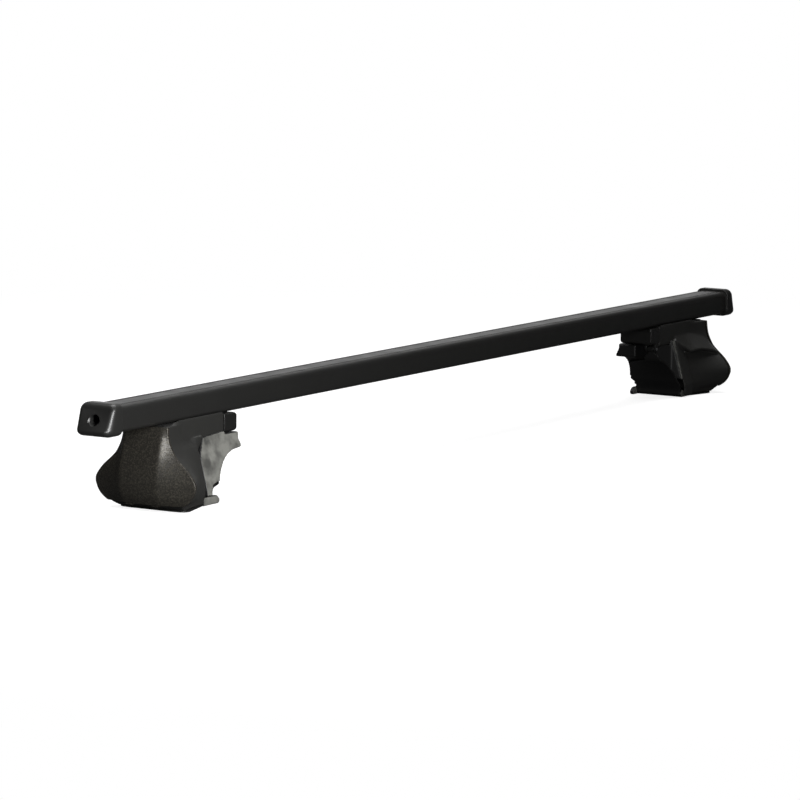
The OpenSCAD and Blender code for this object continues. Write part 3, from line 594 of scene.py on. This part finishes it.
head = bmesh.new()
rounding = [(CAP_LENGTH - EDGE_LONG + EDGE_LONG * math.sin(math.radians(a)),
             EDGE_DEEP * (1 - math.cos(math.radians(a)))) for a in range(0, 91, 5)]
loft(head, [cap_ring(x, inset) for x, inset in
            [(0, 0.9), (0.5, 0.9), (0.7, 0.35), (1.1, 0.08), (1.8, 0), (9, 0)] + rounding])
plug = bmesh.new()
loft(plug, [[(x, y, z) for y, z in corner_arcs(PLUG_W, PLUG_H, PLUG_R, 6, 0)] for x in (-PLUG_LENGTH, 0.6)])
hole = bmesh.new()
rod(hole, (CAP_LENGTH - CAP_RAKE - HOLE_DEPTH, 0, 0), (CAP_LENGTH + 2, 0, 0), HOLE_D / 2, EASE_STEPS)
lean = math.atan2(CAP_RAKE, BAR_H + 2 * CAP_PROUD)
ease = bmesh.new()
around = [math.tau * i / EASE_STEPS for i in range(EASE_STEPS)]
loft(ease, [[(CAP_LENGTH - CAP_RAKE / 2 + d * math.cos(lean) - r * math.sin(a) * math.sin(lean), r * math.cos(a),
              d * math.sin(lean) + r * math.sin(a) * math.cos(lean)) for a in around]
            for d, r in ((-1.6, 4.4), (0.4, 6.4))])
bore = bmesh.new()
rod(bore, (-PLUG_LENGTH - 1, 0, 0), (CAP_LENGTH - CAP_RAKE, 0, 0), BORE_R, 24)


def boolean(piece, other, operation):
    """Joins or cuts a closed mesh with another one, which is then thrown away."""
    cut = piece.modifiers.new(operation, "BOOLEAN")
    cut.operation = operation
    cut.object = other
    cut.solver = "EXACT"
    bake(piece)
    bpy.data.objects.remove(other)


cap = object_of("cap", head, cap_plastic)
boolean(cap, object_of("plug", plug, cap_plastic), "UNION")
for name, cut in (("hole", hole), ("ease", ease), ("bore", bore)):
    boolean(cap, object_of(name, cut, cap_plastic), "DIFFERENCE")
for side, place in (("left", Matrix.Rotation(math.pi, 4, "Z")), ("right", Matrix())):
    mesh = cap.data.copy()
    mesh.transform(place @ Matrix.Translation((TUBE_HALF * MM, 0, BAR_MID_Z * MM)))
    piece = bpy.data.objects.new(f"{side}_cap_dressed", mesh)
    scene.collection.objects.link(piece)
    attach(piece, "bar")
    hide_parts(f"{side}_cap")
bpy.data.objects.remove(cap)
print("cap faces:", len(mesh.polygons))

# %% [markdown]
# The cover and the housing follow the same few curves, drawn by height: the half width of the rim, the half
# width of the housing's inboard face, and how far the middle panel stands forward. A smooth curve is put through
# each table of points, as the CAD source does.

# %% Curves of the foot
FOOT_H, RIM_W, BACK_W, HULL_DEPTH = 76.0, 104.0, 60.0, 51.0
ARM_LENGTH, ARM_LOW, ARM_HALF = 98.0, 56.0, 17.5
HOUSING_TOP, HOUSING_FRONT, SOLE_T = 74.9, 2.9, 1.5
PANEL_OUT, PANEL_HALF, COVER_T, COVER_LOW, COVER_TOP = 12.0, 19.0, 2.5, 6.5, 74.6
RIM_OUTLINE = [(0.075, 0.72), (0.1, 0.79), (0.16, 0.9), (0.235, 0.97), (0.34, 1), (0.475, 0.87), (0.605, 0.66),
               (0.67, 0.575), (0.815, 0.475), (1, 0.435)]
WAIST = (ARM_HALF - 1.6) / (BACK_W / 2)
BACK_OUTLINE = [(0.02, 0.9), (0.12, 0.99), (0.2, 1), (0.45, 0.88), (0.67, 0.71), (0.78, WAIST), (1, WAIST)]
PANEL_OUTLINE = [(0.075, 0.4), (0.2, 0.84), (0.42, 1), (0.7, 0.62), (1, 0.05)]


def curve(v, table):
    """A smooth curve through a table of places and values."""
    i = next((k for k in range(len(table) - 2) if v <= table[k + 1][0]), len(table) - 2)
    step = table[i + 1][0] - table[i][0]
    u = min(max((v - table[i][0]) / step, 0), 1)
    slopes = []
    for k in (i, i + 1):
        a, b = table[max(k - 1, 0)], table[min(k + 1, len(table) - 1)]
        slopes.append((b[1] - a[1]) / (b[0] - a[0]))
    return ((2 * u**3 - 3 * u**2 + 1) * table[i][1] + (u**3 - 2 * u**2 + u) * step * slopes[0]
            + (3 * u**2 - 2 * u**3) * table[i + 1][1] + (u**3 - u**2) * step * slopes[1])


def mix(a, b, u):
    """The value that lies the share u of the way from a to b."""
    return a + (b - a) * u


def rim_half(z):
    """Half width of the cover's rim, never more than the CAD model's."""
    return RIM_W / 2 * min(curve(z / FOOT_H, RIM_OUTLINE), 1)


def back_half(z):
    """Half width of the housing's inboard face."""
    return BACK_W / 2 * curve(z / FOOT_H, BACK_OUTLINE)


def panel_x(z):
    """How far the middle panel stands forward of the rim, which lies at zero."""
    return -PANEL_OUT * curve(z / FOOT_H, PANEL_OUTLINE)


def housing_half(x, z):
    """Half width of the housing from the rim behind the cover to its inboard face."""
    u = min(max((x - HOUSING_FRONT) / (HULL_DEPTH - HOUSING_FRONT), 0), 1)
    return mix(rim_half(z) - 0.8, back_half(z), 1 - (1 - u)**1.5)


print("widest rim:", round(max(rim_half(z) for z in range(6, 76)) * 2, 1), "mm")

# %% [markdown]
# The cover is a thin moulding: a crowned middle panel, a crease on each side, and hollow wings that flatten out
# to the rim. It is skinned as a dense grid, front and back, and the crease is softened by averaging the shape
# over three millimetres, as a mould's small radius does. A bevel rounds the rim.

# %% Cover
WING_HOLLOW = 1.15


def sharp_x(y, z):
    """The front of the cover before its crease is rounded."""
    panel, rim = min(PANEL_HALF, rim_half(z) - 2.2), rim_half(z)
    a = abs(y) / panel if abs(y) <= panel else 1 + (abs(y) - panel) / (rim - panel)
    bow = 0.9 * (1 - min(a, 1)**2)
    return panel_x(z) * (1 if a <= 1 else max(2 - a, 0)**WING_HOLLOW) - bow


def cover_x(y, z):
    """The front of the cover, averaged across its crease but never past the rim."""
    reach = min(1.5, rim_half(z) - abs(y))
    return sum(sharp_x(y + reach * k / 4, z) for k in range(-4, 5)) / 9


ROWS, COLUMNS = 64, 72
bm = bmesh.new()
front, back = [], []
for r in range(ROWS + 1):
    z = mix(COVER_LOW, COVER_TOP, r / ROWS)
    ys = [rim_half(z) * (2 * c / COLUMNS - 1) for c in range(COLUMNS + 1)]
    front.append([bm.verts.new((cover_x(y, z), y, z)) for y in ys])
    back.append([bm.verts.new((cover_x(y, z) + COVER_T, y, z)) for y in ys])
for r in range(ROWS):
    for c in range(COLUMNS):
        bm.faces.new((front[r][c], front[r][c + 1], front[r + 1][c + 1], front[r + 1][c]))
        bm.faces.new((back[r][c], back[r + 1][c], back[r + 1][c + 1], back[r][c + 1]))
    for c in (0, COLUMNS):
        bm.faces.new((front[r][c], front[r + 1][c], back[r + 1][c], back[r][c]))
for r in (0, ROWS):
    for c in range(COLUMNS):
        bm.faces.new((front[r][c], front[r][c + 1], back[r][c + 1], back[r][c]))
cover = object_of("cover", bm, cover_mica)
rounding = cover.modifiers.new("rim_rounding", "BEVEL")
rounding.width, rounding.segments, rounding.angle_limit = 0.7 * MM, 3, math.radians(50)
bake(cover, 50)
print("cover shell:", len(cover.data.polygons), "faces")

# %% [markdown]
# Behind the cover two knuckles turn on the hinge pin and a small tongue snaps into the housing. They are solid
# blocks with a bored round end, joined to the back of the shell.

# %% Knuckles and snap of the cover
HINGE_X, HINGE_Z, PIN_D, KNUCKLE_R = -0.4, 8.2, 3.0, 3.0
KNUCKLE_IN, KNUCKLE_OUT, FIT = 10.0, 17.0, 0.05


def joined(pieces):
    """Joins several objects into the first one as separate shells."""
    bm = bmesh.new()
    for piece in pieces:
        bm.from_mesh(piece.data)
    material = pieces[0].data.materials[0]
    name = pieces[0].name
    for piece in pieces:
        bpy.data.objects.remove(piece)
    bm.transform(IN_METRES.inverted())
    return object_of(name, bm, material, 50)


parts = [cover]
for low in (KNUCKLE_IN, -KNUCKLE_OUT):
    high = low + KNUCKLE_OUT - KNUCKLE_IN
    bm = bmesh.new()
    rod(bm, (HINGE_X, low, HINGE_Z), (HINGE_X, high, HINGE_Z), KNUCKLE_R)
    knuckle = object_of("knuckle", bm, cover_mica)
    bm = bmesh.new()
    box(bm, (panel_x(HINGE_Z) + COVER_T - 0.6, low + 0.01, HINGE_Z - KNUCKLE_R + 0.02),
        (HINGE_X, high - 0.01, HINGE_Z + KNUCKLE_R - 0.02))
    boolean(knuckle, object_of("web", bm, cover_mica), "UNION")
    bm = bmesh.new()
    rod(bm, (HINGE_X, low - 1, HINGE_Z), (HINGE_X, high + 1, HINGE_Z), PIN_D / 2 + FIT)
    boolean(knuckle, object_of("eye", bm, cover_mica), "DIFFERENCE")
    parts.append(knuckle)
bm = bmesh.new()
snap_z = FOOT_H * 0.9
box(bm, (panel_x(snap_z) + COVER_T - 0.8, -6, snap_z), (HOUSING_FRONT + 3, 6, snap_z + 1.6))
parts.append(object_of("snap", bm, cover_mica))
place_on_feet(joined(parts), "cover", "cover")

# %% [markdown]
# The housing is the big moulding of the foot: a body that flows from the flared rim to the arm under the bar,
# a haunch where it meets the grey pad, a peaked skirt and a cheek over the pad on one side, and a low lip along
# each edge of the bar. The forms are drawn as overlapping closed shells. A voxel remesh then grows them into one
# skin, and a little smoothing gives the soft edges of a moulding.

# %% Outside of the housing
def body_half(x, z):
    """Half width of the housing, carried on into the side of the arm without a step."""
    rise = min(max((z - 47) / 10, 0), 1)
    return max(housing_half(x, z), (ARM_HALF - 0.05) * rise * rise * (3 - 2 * rise))


def pad_side(z):
    """Half width of the grey pad by height."""
    if z < 50.9:
        return mix(31.5, 21.7, min(max((z - 13.7) / 37.2, 0), 1))
    return mix(21.7, 19.7, min((z - 50.9) / 6.9, 1))


# The skirt's lower edge in Z and its outer face in Y, by place in X
SKIRT_LOW = [(5, 41.5), (10, 43.2), (16, 44.8), (24, 46.4), (32, 47.3), (40, 46.6), (46, 46), (50, 47.5),
             (58, 51.5), (66, 56)]
SKIRT_OUT = [(5, 38.6), (10, 38), (16, 36.6), (24, 34.2), (32, 32), (40, 29.6), (46, 28), (50, 27),
             (58, 24.5), (66, 21.5)]
# The haunch by its place in X, its lower edge in Z and its half width
HAUNCH_RINGS = [(34, 44, 12), (40, 42, 15), (46, 40, 18), (51, 40, 19.7), (53.6, 48, 19.7), (57.5, 54, 19.7),
                (61, 59.2, 19.7)]
# The cheek over the pad by its place in X and its lower and upper edge in Z
CHEEK_RINGS = [(44, 6, 36), (51, 1.7, 40), (53.6, 1.7, 48), (58, 1.7, 55), (61, 1.7, 59), (63, 1.8, 59.2),
               (65.6, 3.6, 59.4), (66.6, 12, 59.4), (68.2, 19.6, 59.6)]
# The lips beside the bar by their place in X and their top in Z
LIP_RINGS = [(10, 74), (26, 77.6), (97.4, 77.6)]
HULL_RINGS, HULL_ROWS = 32, 52

bm = bmesh.new()
rings = []
for k in range(HULL_RINGS + 1):
    x = mix(HOUSING_FRONT, HULL_DEPTH, k / HULL_RINGS)
    low = SOLE_T + max(10 - x, 0) * 0.5
    zs = [mix(low, HOUSING_TOP - 0.3, r / HULL_ROWS) for r in range(HULL_ROWS + 1)]
    rings.append([(x, body_half(x, z), z) for z in zs] + [(x, -body_half(x, z), z) for z in zs[::-1]])
loft(bm, rings)
loft(bm, [[(x, y, z + (ARM_LOW + HOUSING_TOP) / 2)
           for y, z in corner_arcs(2 * ARM_HALF, HOUSING_TOP - ARM_LOW, 1.2, 4, 0)] for x in (3.9, ARM_LENGTH)])
loft(bm, [[(x, half, 60.4), (x, half, low), (x, -half, low), (x, -half, 60.4)] for x, low, half in HAUNCH_RINGS])
rings = []
for k in range(HULL_RINGS + 1):
    x = mix(5, 65, k / HULL_RINGS)
    low, out = curve(x, SKIRT_LOW), curve(x, SKIRT_OUT)
    rings.append([(x, 13.5, 64), (x, 13.5, low), (x, out, low - 0.5), (x, out + 0.4, low + 1.5), (x, 17.5, 64)])
loft(bm, rings)


rings = []
for x, low, high in CHEEK_RINGS:
    zs = [mix(low, high, r / 30) for r in range(31)]
    proud = 0.9 if x > 45 else -2.2
    rings.append([(x, pad_side(z) + proud, z) for z in zs] + [(x, pad_side(z) + proud - 2.2, z) for z in zs[::-1]])
loft(bm, rings)
for y in (16.1, -17.5):
    loft(bm, [[(x, y, 72), (x, y + 1.4, 72), (x, y + 1.4, high), (x, y, high)] for x, high in LIP_RINGS])
housing = object_of("housing", bm, housing_nylon)


def grow_skin(piece, voxel_mm, passes, sharp=60):
    """Turns overlapping shells into one skin of small voxels and smooths it."""
    skin = piece.modifiers.new("one_skin", "REMESH")
    skin.mode, skin.voxel_size = "VOXEL", voxel_mm * MM
    soft = piece.modifiers.new("soft_edges", "SMOOTH")
    soft.factor, soft.iterations = 0.5, passes
    return bake(piece, sharp)


grow_skin(housing, 0.8, 5)
print("housing skin:", len(housing.data.polygons), "faces")

# %% [markdown]
# The inside is cut after the smoothing, so that the bores keep their true sizes: the recess behind the cover, the
# screw's hole, the channel of the claw's tongue, pockets and holes for the clamping bolts, and the hinge.

# %% Inside of the housing
SCREW_Z, PARTITION_X, BOLT_X, BOLT_PITCH = 62.4, 15.0, 26.0, 19.0
CHANNEL_LOW, CHANNEL_TOP, CHANNEL_HALF, NUT_SEAT_Z = 58.2, 66.6, 11.3, 70.5
LUG_LOWS, LUG_LENGTH, SCREW_HOLE_R, HEAD_HOLE_R, NUT_POCKET_R = (3.5, -9.8), 6.3, 3.05, 6.5, 6.2


def cutter(draw):
    """An object drawn by a small function on a new mesh."""
    bm = bmesh.new()
    draw(bm)
    return object_of("cutter", bm, housing_nylon)


def recess(bm):
    """The hollow behind the cover, with a wall left all round it."""
    rings = []
    for x in (HOUSING_FRONT - 1, 7.0, PARTITION_X):
        zs = [mix(12.9, CHANNEL_TOP - 1, r / 20) for r in range(21)]
        half = [housing_half(max(x, HOUSING_FRONT), z) - 5 for z in zs]
        rings.append([(x, h, z) for h, z in zip(half, zs)] + [(x, -h, z) for h, z in zip(half[::-1], zs[::-1])])
    loft(bm, rings)


cuts = [lambda bm: rod(bm, (HINGE_X, -60, HINGE_Z), (HINGE_X, 60, HINGE_Z), KNUCKLE_R + 1.2), recess]
for draw in cuts:
    boolean(housing, cutter(draw), "DIFFERENCE")
for low in LUG_LOWS:
    lug = cutter(lambda bm: rod(bm, (HINGE_X, low, HINGE_Z), (HINGE_X, low + LUG_LENGTH, HINGE_Z), KNUCKLE_R))
    boolean(housing, lug, "UNION")
    web = cutter(lambda bm: box(bm, (HINGE_X, low + 0.01, 5.22), (5.9, low + 6.29, 11.18)))
    boolean(housing, web, "UNION")
cuts = [lambda bm: rod(bm, (HINGE_X, -17, HINGE_Z), (HINGE_X, 17, HINGE_Z), PIN_D / 2 + FIT),
        lambda bm: box(bm, (1.9, -7, snap_z - 1), (6.9, 7, snap_z + 2.6)),
        lambda bm: rod(bm, (1.9, 0, SCREW_Z), (PARTITION_X, 0, SCREW_Z), HEAD_HOLE_R),
        lambda bm: rod(bm, (14, 0, SCREW_Z), (21, 0, SCREW_Z), SCREW_HOLE_R),
        lambda bm: box(bm, (20, -CHANNEL_HALF, CHANNEL_LOW), (118, CHANNEL_HALF, CHANNEL_TOP))]
for k in (0, 1):
    x = BOLT_X + k * BOLT_PITCH
    cuts += [lambda bm, x=x: rod(bm, (x, 0, 65.6), (x, 0, NUT_SEAT_Z), NUT_POCKET_R),
             lambda bm, x=x: rod(bm, (x, 0, 66), (x, 0, 90), SCREW_HOLE_R),
             lambda bm, k=k: rod(bm, (30, 32 * k - 16, -1), (30, 32 * k - 16, 14), 2.05)]
for draw in cuts:
    boolean(housing, cutter(draw), "DIFFERENCE")
housing.data.set_sharp_from_angle(angle=math.radians(40))
place_on_feet(housing, "housing", "foot")

# %% [markdown]
# Pads, lips and claws keep the shape of their CAD node. What light shows on the real ones is their soft
# edges: rubber and cast parts have no sharp corner. A copy of the node is merged, grown into one skin of small
# voxels and smoothed. The left foot's node serves as the master of both feet.

# %% Pads, lips and claws
def soft_copy(node, slot, body, voxel_mm, passes, grow_shape=None):
    """Dresses a node of both feet with a soft-edged skin, after adding what a small function draws."""
    bm = bmesh.new()
    bm.from_mesh(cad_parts["left_" + node].data)
    bmesh.ops.remove_doubles(bm, verts=bm.verts, dist=1e-6)
    bm.transform(IN_METRES.inverted() @ FOOT_PLACE["left"].inverted())
    if grow_shape:
        grow_shape(bm)
    piece = grow_skin(object_of(node, bm, FINISH[slot]), voxel_mm, passes)
    place_on_feet(piece, node, body)


def blunt_tab(bm):
    """The thick rounded end of the pad's tab, under the claw."""
    outline = [(97, 50), (97, 58.3), (117.4, 58.3), (118.9, 56.8), (118.9, 45), (112, 45), (104, 46)]
    loft(bm, [[(x, y, z) for x, z in outline] for y in (-19.7, 0.3)])


def flared_flank(bm):
    """The wider end of the lower lip, where it turns out beyond the strap."""
    outline = [(62, 0), (74.5, 0), (76.4, 1.4), (76.2, 3.8), (73.4, 6.8), (70.5, 7.7), (62, 7.7)]
    loft(bm, [[(x, y, z) for x, z in outline] for y in (-28, -23.8)])


soft_copy("rail_pad", "grey_rubber", "foot", 0.7, 14, blunt_tab)
soft_copy("lower_lip", "grey_rubber", "foot", 0.6, 10, flared_flank)
soft_copy("claw", "claw_black", "claw", 0.5, 6)

# %% [markdown]
# The strap is a steel band coated with rubber. It hangs from a pin in the claw, follows the cradle of the pad and
# ends in a short tail before the lower lip. A table gives its line in X and Z and its two edges in Y, and the band
# is skinned along it with its own thickness, then softened like the other rubber pieces.

# %% Strap
CRADLE_X, CRADLE_Z, STRAP_R, STRAP_T, PIN_X, PIN_Z = 111.0, 4.0, 38.8, 1.6, 104.0, 53.5
line = [(69.3, 2.6, -22.5, 27.0), (69.3, 6.8, -23.5, 28.4), (70.2, 10.0, -23.5, 28.8), (72.3, 13.8, -23.8, 29.0)]
for a in range(20, 73, 4):
    z = CRADLE_Z + STRAP_R * math.sin(math.radians(a))
    half = mix(29.5, 17.5, (z - 12) / 38.9)
    near = mix(-half, 1.5, (max(a, 56) - 56) / 16)
    line.append((CRADLE_X - STRAP_R * math.cos(math.radians(a)), z, near, half))
line += [(101.4, 43.6, 1.5, 19.0), (102.2, 46.2, 3.5, 18.4), (102.8, 48.9, 7.5, 14.5), (103.0, 51.5, 7.5, 14.5)]
bm = bmesh.new()
rings = []
for i, (x, z, near, far) in enumerate(line):
    before, after = line[max(i - 1, 0)], line[min(i + 1, len(line) - 1)]
    along = Vector((after[0] - before[0], after[1] - before[1])).normalized() * STRAP_T / 2
    rings.append([(x + along.y, near, z - along.x), (x + along.y, far, z - along.x),
                  (x - along.y, far, z + along.x), (x - along.y, near, z + along.x)])
loft(bm, rings)
rod(bm, (PIN_X, 7.5, PIN_Z), (PIN_X, 14.5, PIN_Z), 3.0)
strap = grow_skin(object_of("strap", bm, strap_black), 0.45, 3)
boolean(strap, cutter(lambda bm: rod(bm, (PIN_X, 6, PIN_Z), (PIN_X, 16, PIN_Z), 1.65)), "DIFFERENCE")
place_on_feet(strap, "strap", "strap")

# %% [markdown]
# A screw thread is one ridge that winds round a core: a thing that follows a path, so Geometry Nodes make it. A
# spiral curve carries a three-sided profile, joined to a cylinder. The same tree draws the long tension screw and
# the clamping bolts from their own length, diameter and pitch.

# %% Threaded shafts
thread, given = new_geometry_tree("threaded_shaft", {"Length": 0.02, "Diameter": 0.006, "Pitch": 0.001})
radius = add(thread, "ShaderNodeMath", {0: given.outputs["Diameter"], 1: 0.5}, operation="MULTIPLY")
depth = add(thread, "ShaderNodeMath", {0: given.outputs["Pitch"], 1: 0.5}, operation="MULTIPLY")
core = add(thread, "ShaderNodeMath", {0: radius.outputs[0], 1: depth.outputs[0]}, operation="SUBTRACT")
turns = add(thread, "ShaderNodeMath", {0: given.outputs["Length"], 1: given.outputs["Pitch"]}, operation="DIVIDE")
helix = add(thread, "GeometryNodeCurveSpiral", {"Resolution": 20, "Rotations": turns.outputs[0],
                                                "Start Radius": core.outputs[0], "End Radius": core.outputs[0],
                                                "Height": given.outputs["Length"], "Reverse": False})
ridge = add(thread, "GeometryNodeCurvePrimitiveCircle", {"Resolution": 3, "Radius": depth.outputs[0]})
wound = add(thread, "GeometryNodeCurveToMesh", {"Curve": helix.outputs[0], "Profile Curve": ridge.outputs[0],
                                                "Fill Caps": True})
shaft = add(thread, "GeometryNodeMeshCylinder", {"Vertices": 24, "Radius": core.outputs[0],
                                                 "Depth": given.outputs["Length"]})
half = add(thread, "ShaderNodeMath", {0: given.outputs["Length"], 1: 0.5}, operation="MULTIPLY")
raised = add(thread, "ShaderNodeCombineXYZ", {"Z": half.outputs[0]})
stood = add(thread, "GeometryNodeTransform", {"Geometry": shaft.outputs["Mesh"], "Translation": raised.outputs[0]})
both = add(thread, "GeometryNodeJoinGeometry")
for part in (wound, stood):
    thread.links.new(part.outputs[0], both.inputs[0])
close_tree(thread, given, both.outputs[0])


def threaded_shaft(length, diameter, pitch, place):
    """A threaded shaft in millimetres, from its start along the Z axis of its place."""
    piece = bpy.data.objects.new("shaft", bpy.data.meshes.new("shaft"))
    scene.collection.objects.link(piece)
    grow(piece, thread, zinc_steel, Length=length * MM, Diameter=(diameter - 0.1) * MM, Pitch=pitch * MM)
    piece.data.transform(place)
    return piece


along_x = Matrix.Rotation(math.pi / 2, 4, "Y")
head_x = PARTITION_X - 1.2 - 6.1
bm = bmesh.new()
loft(bm, [[(x, r * math.cos(math.tau * i / 48), SCREW_Z + r * math.sin(math.tau * i / 48)) for i in range(48)]
          for x, r in ((head_x, 4.4), (head_x + 0.6, 5), (head_x + 6, 5))])
head = object_of("tension_screw", bm, zinc_steel)
bm = bmesh.new()
loft(bm, [[(x, 2.9 * math.cos(math.tau * i / 6), SCREW_Z + 2.9 * math.sin(math.tau * i / 6)) for i in range(6)]
          for x in (head_x - 1, head_x + 3.5)])
boolean(head, object_of("socket", bm, zinc_steel), "DIFFERENCE")
collar = bmesh.new()
rod(collar, (head_x + 5, 0, SCREW_Z), (head_x + 14, 0, SCREW_Z), 2.98, 32)
start = head_x + 14
shaft = threaded_shaft(90.0 - start, 6, 1, Matrix.Translation((start * MM, 0, SCREW_Z * MM)) @ along_x)
place_on_feet(joined([head, object_of("collar", collar, zinc_steel), shaft]), "tension_screw", "screw")

PLATE_TOP, BOLT_LOW = 82.1, 66.9
parts = []
for k in (0, 1):
    x = BOLT_X + k * BOLT_PITCH
    bm = bmesh.new()
    loft(bm, [[(x + r * math.cos(math.tau * i / 40), r * math.sin(math.tau * i / 40), z) for i in range(40)]
              for z, r in ((PLATE_TOP, 5.5), (PLATE_TOP + 2.6, 5.5), (PLATE_TOP + 3.4, 4.6))])
    parts += [object_of("bolt_head", bm, zinc_steel),
              threaded_shaft(PLATE_TOP - BOLT_LOW, 6, 1, Matrix.Translation((x * MM, 0, BOLT_LOW * MM)))]
place_on_feet(joined(parts), "clamp_bolts", "foot")
